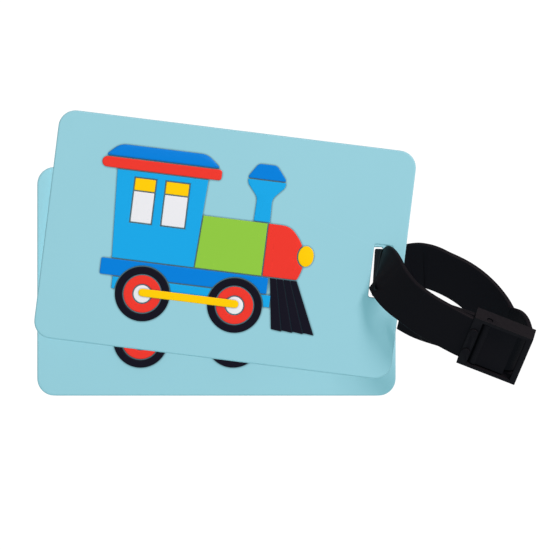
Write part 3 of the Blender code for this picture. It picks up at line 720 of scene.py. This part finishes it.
def strap_route():
    """Centre points in millimetres and width directions, from the fixed end to the free tip."""
    buckle = buckle_matrix()
    across = buckle.to_3x3().col[1]
    outward = buckle.to_3x3().col[2]
    middle = buckle.translation / MM
    along = buckle.to_3x3().col[0]
    crossing = crossing_point()
    ring = Vector((0.44 * math.cos(LOOP_TILT), 0.90 * math.cos(LOOP_TILT), math.sin(LOOP_TILT)))
    half_turn = math.atan2(JOINTS["front_tag_flap"]["axis"][0], JOINTS["front_tag_flap"]["axis"][1]) / 2
    upright = Vector((math.sin(half_turn), math.cos(half_turn), 0.0))
    onward = Vector((upright.y, -upright.x, 0.0))
    leaf_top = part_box("front_tag_face_plate")[1].z / MM
    rear_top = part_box("rear_tag_face_plate")[1].z / MM
    half = BUCKLE_LENGTH / 2
    route = []

    def in_buckle(u, n):
        route.append((middle + along * u + outward * n, across))

    def beside(dx, dy, z, width):
        route.append((crossing + Vector((dx, dy, z)), Vector(width).normalized()))

    in_buckle(BRIDGE_LENGTH + 0.1 - half, 0.0)
    in_buckle(-half, 0.0)
    over_tags = [(19.5, -15.4, leaf_top + 13.9), (13.1, -11.7, leaf_top + 12.9), (8.6, -8.3, leaf_top + 11.2)]
    for spot in over_tags:
        beside(*spot, ring)
    beside(5.4, -5.2, leaf_top + 9.0, (0.43, 0.80, 0.40))
    beside(3.2, -2.2, leaf_top + 6.6, (0.44, 0.86, 0.25))
    beside(1.8, 0.7, leaf_top + 4.2, (0.40, 0.92, 0.10))
    beside(1.3, 1.1, leaf_top + 2.4, (0.33, 0.94, 0.02))
    beside(0.7, 0.1, leaf_top + 0.4, (0.24, 0.97, 0.0))
    beside(0.6, 0.0, leaf_top - 2.2, (0.20, 0.98, 0.0))
    beside(-0.1, 0.0, rear_top + 0.6, upright)
    run_height = BAND_THICKNESS / 2 + 0.5
    turn_centre = crossing + onward * BEND_RADIUS + Vector((-0.1, 0.0, run_height + BEND_RADIUS))
    for degrees in (0, 22.5, 45, 67.5, 90):
        angle = math.radians(degrees)
        rim = -onward * math.cos(angle) - Vector((0, 0, math.sin(angle)))
        route.append((turn_centre + rim * BEND_RADIUS, upright))
    beside(6.6, 0.45, run_height + 0.05, (0.10, 0.99, 0.0))
    beside(10.3, 1.6, 2.7, (0.22, 0.93, 0.26))
    beside(14.5, 1.9, 4.5, (0.33, 0.83, 0.45))
    beside(19.2, 0.2, 5.1, ring)
    beside(25.1, -2.8, 5.2, ring)
    beside(30.2, -6.8, 5.6, ring)
    beside(34.2, -11.3, 7.0, ring)
    beside(37.4, -16.2, 10.2, ring)
    in_buckle(5.2, -11.0)
    bend_u = half - LOOP_END_INSET - LOOP_END_RADIUS
    for degrees in (-30, 0, 30, 60, 90):
        angle = math.radians(degrees)
        rim = Vector((math.cos(angle), math.sin(angle) - 1))
        in_buckle(bend_u + LOOP_END_RADIUS * rim.x, LOOP_END_RADIUS * rim.y - TAIL_DEPTH)
    in_buckle(PEG_U, -TAIL_DEPTH)
    in_buckle(-4.0, -TAIL_DEPTH)
    in_buckle(-half - 0.5, -TAIL_DEPTH - 0.1)
    for spot, depth, slip in zip(over_tags, (2.5, 3.2, 3.8), (1.5, 3.6, 5.0)):
        route.append((crossing + Vector(spot) - outward * depth - ring * slip, ring))
    return route


def smooth_stations(route, step):
    """Stations along a smooth curve through the route: centre, width direction, outward direction."""
    points = [point for point, _ in route]
    last = len(points) - 2
    stations = []
    for i, (start, end) in enumerate(zip(points, points[1:])):
        before = points[i - 1] if i else 2 * start - end
        after = points[i + 2] if i < last else 2 * end - start
        span = (end - start).length
        leave = ((end - start) / span + (start - before) / (start - before).length).normalized() * span
        arrive = ((end - start) / span + (after - end) / (after - end).length).normalized() * span
        count = max(1, round(span / step))
        for k in range(count + (i == last)):
            t = k / count
            centre = (
                start * (2 * t**3 - 3 * t**2 + 1)
                + leave * (t**3 - 2 * t**2 + t)
                + end * (3 * t**2 - 2 * t**3)
                + arrive * (t**3 - t**2)
            )
            heading = (
                start * (6 * t**2 - 6 * t)
                + leave * (3 * t**2 - 4 * t + 1)
                + end * (6 * t - 6 * t**2)
                + arrive * (3 * t**2 - 2 * t)
            ).normalized()
            width = route[i][1].lerp(route[i + 1][1], t)
            width = (width - heading * width.dot(heading)).normalized()
            stations.append((centre, width, width.cross(heading)))
    return stations


def band_section(width, thickness, edge):
    """The band's rounded section, as across and outward offsets."""
    section = []
    for across, outward, start in ((1, 1, 0), (-1, 1, 90), (-1, -1, 180), (1, -1, 270)):
        corner = (across * (width / 2 - edge), outward * (thickness / 2 - edge))
        section.extend(arc(corner, edge, start, start + 90, 4))
    return section


def band_mesh(stations, section):
    """The band along its stations, closed at both ends."""
    bm = bmesh.new()
    rings = []
    for centre, across, outward in stations:
        rings.append([bm.verts.new((centre + across * a + outward * o) * MM) for a, o in section])
    count = len(section)
    for near, far in zip(rings, rings[1:]):
        for k in range(count):
            nxt = (k + 1) % count
            bm.faces.new((near[k], near[nxt], far[nxt], far[k]))
    bm.faces.new(rings[0])
    bm.faces.new(reversed(rings[-1]))
    return bm


def drill_mesh(stations, sizes):
    """Round drills for the anchor holes and for the paired holes of the tail."""
    buckle = buckle_matrix()
    buckle.translation /= MM
    first = buckle @ Vector((PEG_U, 0.0, -TAIL_DEPTH))
    spots = [(buckle @ Vector((BRIDGE_LENGTH / 2 - BUCKLE_LENGTH / 2, 0.0, 0.0)), *stations[0][1:], 1.0)]
    tail = stations[len(stations) // 2 :]
    start = min(range(len(tail)), key=lambda i: (tail[i][0] - first).length)
    travelled = 0.0
    pairs = 0
    for i in range(start, len(tail) - 1):
        if pairs < sizes.hole_pairs and travelled >= pairs * sizes.hole_pitch / MM:
            spots.append((*tail[i], sizes.hole_radius / MM))
            pairs += 1
        travelled += (tail[i + 1][0] - tail[i][0]).length
    bm = bmesh.new()
    for centre, across, outward, radius in spots:
        for side in (-1, 1):
            turn = Matrix((across.cross(outward), across, outward)).transposed().to_4x4()
            turn.translation = (centre + across * side * PEG_SPREAD) * MM
            bmesh.ops.create_cone(
                bm,
                cap_ends=True,
                segments=40,
                radius1=radius * MM,
                radius2=radius * MM,
                depth=(BAND_THICKNESS + 0.5) * MM,
                matrix=turn,
            )
    return bm


def cut_out(bm, tool):
    """Cuts one mesh out of another and returns what is left."""
    items = []
    for name, shape in (("band", bm), ("drill", tool)):
        mesh = bpy.data.meshes.new(name)
        bmesh.ops.recalc_face_normals(shape, faces=shape.faces)
        shape.to_mesh(mesh)
        shape.free()
        item = bpy.data.objects.new(name, mesh)
        bpy.context.scene.collection.objects.link(item)
        items.append(item)
    cut = items[0].modifiers.new("Holes", "BOOLEAN")
    cut.operation = "DIFFERENCE"
    cut.solver = "EXACT"
    cut.object = items[1]
    graph = bpy.context.evaluated_depsgraph_get()
    result = bmesh.new()
    result.from_mesh(items[0].evaluated_get(graph).to_mesh())
    for item in items:
        bpy.data.meshes.remove(item.data)
    return result


# --- Operators ---------------------------------------------------------------------------------------------


class LUGGAGE_OT_shells(bpy.types.Operator):
    """Face plates and pocket frames of both tags"""

    bl_idname = "luggage.shells"
    bl_label = "Tag shells"

    def execute(self, context):
        edge = context.scene.tag_relief.plate_edge
        for tag in TAGS:
            node = tag + "_face_plate"
            outlines, top = face_outlines(node)
            low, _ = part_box(node)
            bm = pillow([faired(outline) for outline in outlines], low.z, top, edge, round_below=True)
            even_shading(add_piece(node, bm, tag))
            moulded_piece(tag + "_pocket_frame", tag, edge * 0.6)
        return {"FINISHED"}


class LUGGAGE_OT_pockets(bpy.types.Operator):
    """Clear window sheets and address cards"""

    bl_idname = "luggage.pockets"
    bl_label = "Windows and cards"

    def execute(self, context):
        for tag in TAGS:
            moulded_piece(tag + "_window_sheet", tag, 0.08 * MM, 2)
            moulded_piece(tag + "_address_card", tag.replace("_tag", "_card"), 0.05 * MM, 1)
        return {"FINISHED"}


class LUGGAGE_OT_relief(bpy.types.Operator):
    """The raised panels of the picture: roof, cab, boiler, chimney and running board"""

    bl_idname = "luggage.relief"
    bl_label = "Relief panels"

    PANELS = (
        "eave",
        "cab",
        "left_pane",
        "left_blind",
        "right_pane",
        "right_blind",
        "boiler",
        "smokebox",
        "headlamp",
        "chimney_stack",
        "chimney_cap",
        "running_board",
    )

    def execute(self, context):
        relief = context.scene.tag_relief
        for tag in TAGS:
            for part in self.PANELS:
                relief_piece(f"{tag}_{part}", tag, relief.relief_edge, relief.seat)
            relief_piece(tag + "_roof_dome", tag, relief.roof_edge, relief.seat)
            relief_piece(tag + "_sill", tag, relief.relief_edge, relief.seat, self.sill_ends(tag))
        return {"FINISHED"}

    def sill_ends(self, tag):
        """The sill's short ends beyond the wheels, hollowed round the tyres."""
        ends = []
        low, high = SILL_SPAN
        radius = TYRE_RADIUS + TYRE_GAP
        for wheel, end, side in zip(WHEEL_XS, SILL_ENDS, (-1, 1)):
            heights = [low + (high - low) * k / 6 for k in range(7)]
            hollow = [(wheel + side * math.sqrt(radius**2 - (y - WHEEL_Y) ** 2), y) for y in heights]
            corners = [(end, high), (end, low)]
            outline = corners + hollow if side < 0 else corners[::-1] + hollow[::-1]
            ends.append(placed(tag, outline))
        return ends


class LUGGAGE_OT_wheels(bpy.types.Operator):
    """Tyres, wheel discs, hubs and the coupling rod"""

    bl_idname = "luggage.wheels"
    bl_label = "Wheels and rod"

    def execute(self, context):
        relief = context.scene.tag_relief
        for tag in TAGS:
            for side in ("left", "right"):
                tyre, disc, hub = (f"{tag}_{side}_{part}" for part in ("tyre", "wheel_disc", "hub"))
                self.add_ring(tyre, disc, tag, relief, relief.tyre_edge)
                self.add_ring(disc, hub, tag, relief, relief.disc_edge)
                self.add_hub(hub, tag, relief)
            relief_piece(tag + "_coupling_rod", tag, relief.relief_edge, relief.seat)
        return {"FINISHED"}

    def add_ring(self, node, within, tag, relief, edge):
        """A flat ring with rounded upper rims, round the disc of the node within it."""
        centre, outer, low, high = round_sizes(node)
        inner = round_sizes(within)[1] + TYRE_GAP * MM
        section = [(outer, low - relief.seat)]
        section += arc((outer - edge, high - edge), edge, 0, 90)
        section += arc((inner + edge, high - edge), edge, 90, 180)
        section.append((inner, low - relief.seat))
        bm = lathe(section, relief.wheel_segments, Matrix.Translation(centre))
        even_shading(add_piece(node, bm, tag))

    def add_hub(self, node, tag, relief):
        """A disc with a rounded rim."""
        centre, outer, low, high = round_sizes(node)
        edge = relief.relief_edge
        section = [(0.0, low - relief.seat), (outer, low - relief.seat)]
        section += arc((outer - edge, high - edge), edge, 0, 90)
        section.append((0.0, high))
        bm = lathe(section, relief.wheel_segments, Matrix.Translation(centre))
        even_shading(add_piece(node, bm, tag))


class LUGGAGE_OT_cowcatcher(bpy.types.Operator):
    """The cowcatcher's slats on their backing"""

    bl_idname = "luggage.cowcatcher"
    bl_label = "Cowcatcher"

    def execute(self, context):
        relief = context.scene.tag_relief
        for tag in TAGS:
            node = tag + "_cowcatcher"
            low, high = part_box(node)
            corners = [Vector(corner) for corner in (*CATCHER_FOOT, *reversed(CATCHER_TOP))]
            backing = placed(tag, inset(corners, CATCHER_BACKING_INSET))
            top = low.z + CATCHER_BACKING_HEIGHT * MM
            bm = pillow([backing], low.z - relief.seat, top, CATCHER_BACKING_EDGE * MM)
            for number in range(CATCHER_SLATS):
                slat = placed(tag, self.slat(number))
                join_into(bm, pillow([slat], low.z - relief.seat, high.z, relief.relief_edge * 0.8))
            even_shading(add_piece(node, bm, tag))
        return {"FINISHED"}

    def slat(self, number):
        """One slat's corners: it widens towards the foot, and its foot is a little skewed."""
        sides = []
        for share, groove in ((number / CATCHER_SLATS, 1), ((number + 1) / CATCHER_SLATS, -1)):
            ends = []
            for left, right in (CATCHER_TOP, CATCHER_FOOT):
                x = left[0] + (right[0] - left[0]) * share
                ends.append((x + groove * CATCHER_GROOVE / 2, left[1] + (right[1] - left[1]) * share))
            sides.append(ends)
        (top_left, foot_left), (top_right, foot_right) = sides
        foot_left = (foot_left[0], foot_left[1] + CATCHER_FOOT_SKEW)
        return [foot_left, foot_right, top_right, top_left]


class LUGGAGE_OT_strap(bpy.types.Operator):
    """The strap band with its holes"""

    bl_idname = "luggage.strap"
    bl_label = "Strap band"

    def execute(self, context):
        sizes = context.scene.tag_strap
        stations = smooth_stations(strap_route(), sizes.step / MM)
        bm = band_mesh(stations, band_section(BAND_WIDTH, BAND_THICKNESS, sizes.edge / MM))
        bm = cut_out(bm, drill_mesh(stations, sizes))
        even_shading(add_piece("strap_band", bm, "strap"))
        return {"FINISHED"}


class LUGGAGE_OT_buckle(bpy.types.Operator):
    """Buckle frame, tongue and pins"""

    bl_idname = "luggage.buckle"
    bl_label = "Buckle"

    def execute(self, context):
        edge = context.scene.tag_relief.buckle_edge
        moulded_piece("buckle_frame", "strap", edge)
        moulded_piece("buckle_tongue", "tongue", edge)
        for node in ("tongue_pin", "anchor_pin_lower", "anchor_pin_upper"):
            moulded_piece(node, "strap", edge * 0.6)
        return {"FINISHED"}


class LUGGAGE_OT_stage(bpy.types.Operator):
    """Camera, pale floor and soft light"""

    bl_idname = "luggage.stage"
    bl_label = "Stage"

    VIEW_CENTRE = (-2.607 * MM, -6.35 * MM)
    SENSOR = 36.0
    FLOOR_DROP = 0.02 * MM
    KEY_SIZE = 0.5
    KEY_PLACE = (0.90, 1.10, 1.10)
    FILL_PLACE = (0.1, -0.25, 1.0)

    def execute(self, context):
        stage = context.scene.tag_stage
        self.add_camera(context, stage)
        self.add_floor()
        self.add_lights(stage)
        self.set_sky(context, stage)
        context.scene.view_settings.view_transform = "Standard"
        return {"FINISHED"}

    def add_camera(self, context, stage):
        data = bpy.data.cameras.new("studio_camera")
        data.sensor_width = self.SENSOR
        data.lens = self.SENSOR * stage.camera_height / stage.view_width
        data.clip_end = 20.0
        camera = bpy.data.objects.new("studio_camera", data)
        face = tag_frame("front_tag").translation.z
        camera.location = (*self.VIEW_CENTRE, face + stage.camera_height)
        context.scene.collection.objects.link(camera)
        context.scene.camera = camera

    def add_floor(self):
        material, tree, shader = new_material("stage_paper")
        shader.inputs["Base Color"].default_value = (0.05, 0.05, 0.05, 1.0)
        shader.inputs["Roughness"].default_value = 0.9
        shader.inputs["Specular IOR Level"].default_value = 0.0
        shader.inputs["Emission Color"].default_value = (1.0, 1.0, 1.0, 1.0)
        shader.inputs["Emission Strength"].default_value = 1.0
        bm = bmesh.new()
        bmesh.ops.create_grid(bm, x_segments=1, y_segments=1, size=4.0)
        mesh = bpy.data.meshes.new("stage_floor")
        bm.to_mesh(mesh)
        bm.free()
        mesh.materials.append(material)
        floor = bpy.data.objects.new("stage_floor", mesh)
        floor.location.z = -self.FLOOR_DROP
        floor.visible_glossy = False
        bpy.context.scene.collection.objects.link(floor)

    def add_lights(self, stage):
        """A soft key light from the upper right, shaded by the strap alone, and a shadowless fill light."""
        soft = bpy.data.lights.new("key_light", "AREA")
        soft.shape = "DISK"
        soft.size = self.KEY_SIZE
        soft.energy = stage.key_power
        soft.color = stage.key_tint
        even = bpy.data.lights.new("fill_light", "SUN")
        even.energy = stage.fill_strength
        even.color = stage.fill_tint
        even.use_shadow = False
        for data, place in ((soft, self.KEY_PLACE), (even, self.FILL_PLACE)):
            light = bpy.data.objects.new(data.name, data)
            light.location = place
            light.rotation_euler = light.location.to_track_quat("Z", "Y").to_euler()
            light.visible_glossy = data is soft
            bpy.context.scene.collection.objects.link(light)
            if data is soft:
                light.light_linking.blocker_collection = self.strap_pieces()

    def strap_pieces(self):
        """The strap's pieces as a collection."""
        pieces = bpy.data.collections.new("key_light_shadows")
        for item in bpy.context.scene.objects:
            if item.name.startswith(STRAP_PIECES):
                pieces.objects.link(item)
        return pieces

    def set_sky(self, context, stage):
        world = bpy.data.worlds.new("studio_sky")
        world.use_nodes = True
        sky = world.node_tree.nodes["Background"]
        sky.inputs["Color"].default_value = (1.0, 1.0, 1.0, 1.0)
        sky.inputs["Strength"].default_value = stage.sky_strength
        context.scene.world = world


class LUGGAGE_PT_panel(bpy.types.Panel):
    """Sidebar panel that lists the set's pieces"""

    bl_idname = "LUGGAGE_PT_panel"
    bl_label = "Luggage Tag"
    bl_space_type = "VIEW_3D"
    bl_region_type = "UI"
    bl_category = "Luggage Tag"

    def draw(self, context):
        for step in STEPS:
            self.layout.operator(step.bl_idname)


STEPS = (
    LUGGAGE_OT_shells,
    LUGGAGE_OT_pockets,
    LUGGAGE_OT_relief,
    LUGGAGE_OT_wheels,
    LUGGAGE_OT_cowcatcher,
    LUGGAGE_OT_strap,
    LUGGAGE_OT_buckle,
    LUGGAGE_OT_stage,
)
GROUPS = {
    "tag_finish": TagFinishSettings,
    "tag_relief": ReliefSettings,
    "tag_strap": StrapSettings,
    "tag_stage": StageSettings,
}


def register():
    for group in GROUPS.values():
        bpy.utils.register_class(group)
    for step in STEPS:
        bpy.utils.register_class(step)
    bpy.utils.register_class(LUGGAGE_PT_panel)
    for name, group in GROUPS.items():
        setattr(bpy.types.Scene, name, PointerProperty(type=group))


def unregister():
    for name in GROUPS:
        delattr(bpy.types.Scene, name)
    bpy.utils.unregister_class(LUGGAGE_PT_panel)
    for step in reversed(STEPS):
        bpy.utils.unregister_class(step)
    for group in reversed(list(GROUPS.values())):
        bpy.utils.unregister_class(group)


def main():
    register()
    for step in STEPS:
        category, name = step.bl_idname.split(".")
        getattr(getattr(bpy.ops, category), name)()


if __name__ == "__main__":
    main()
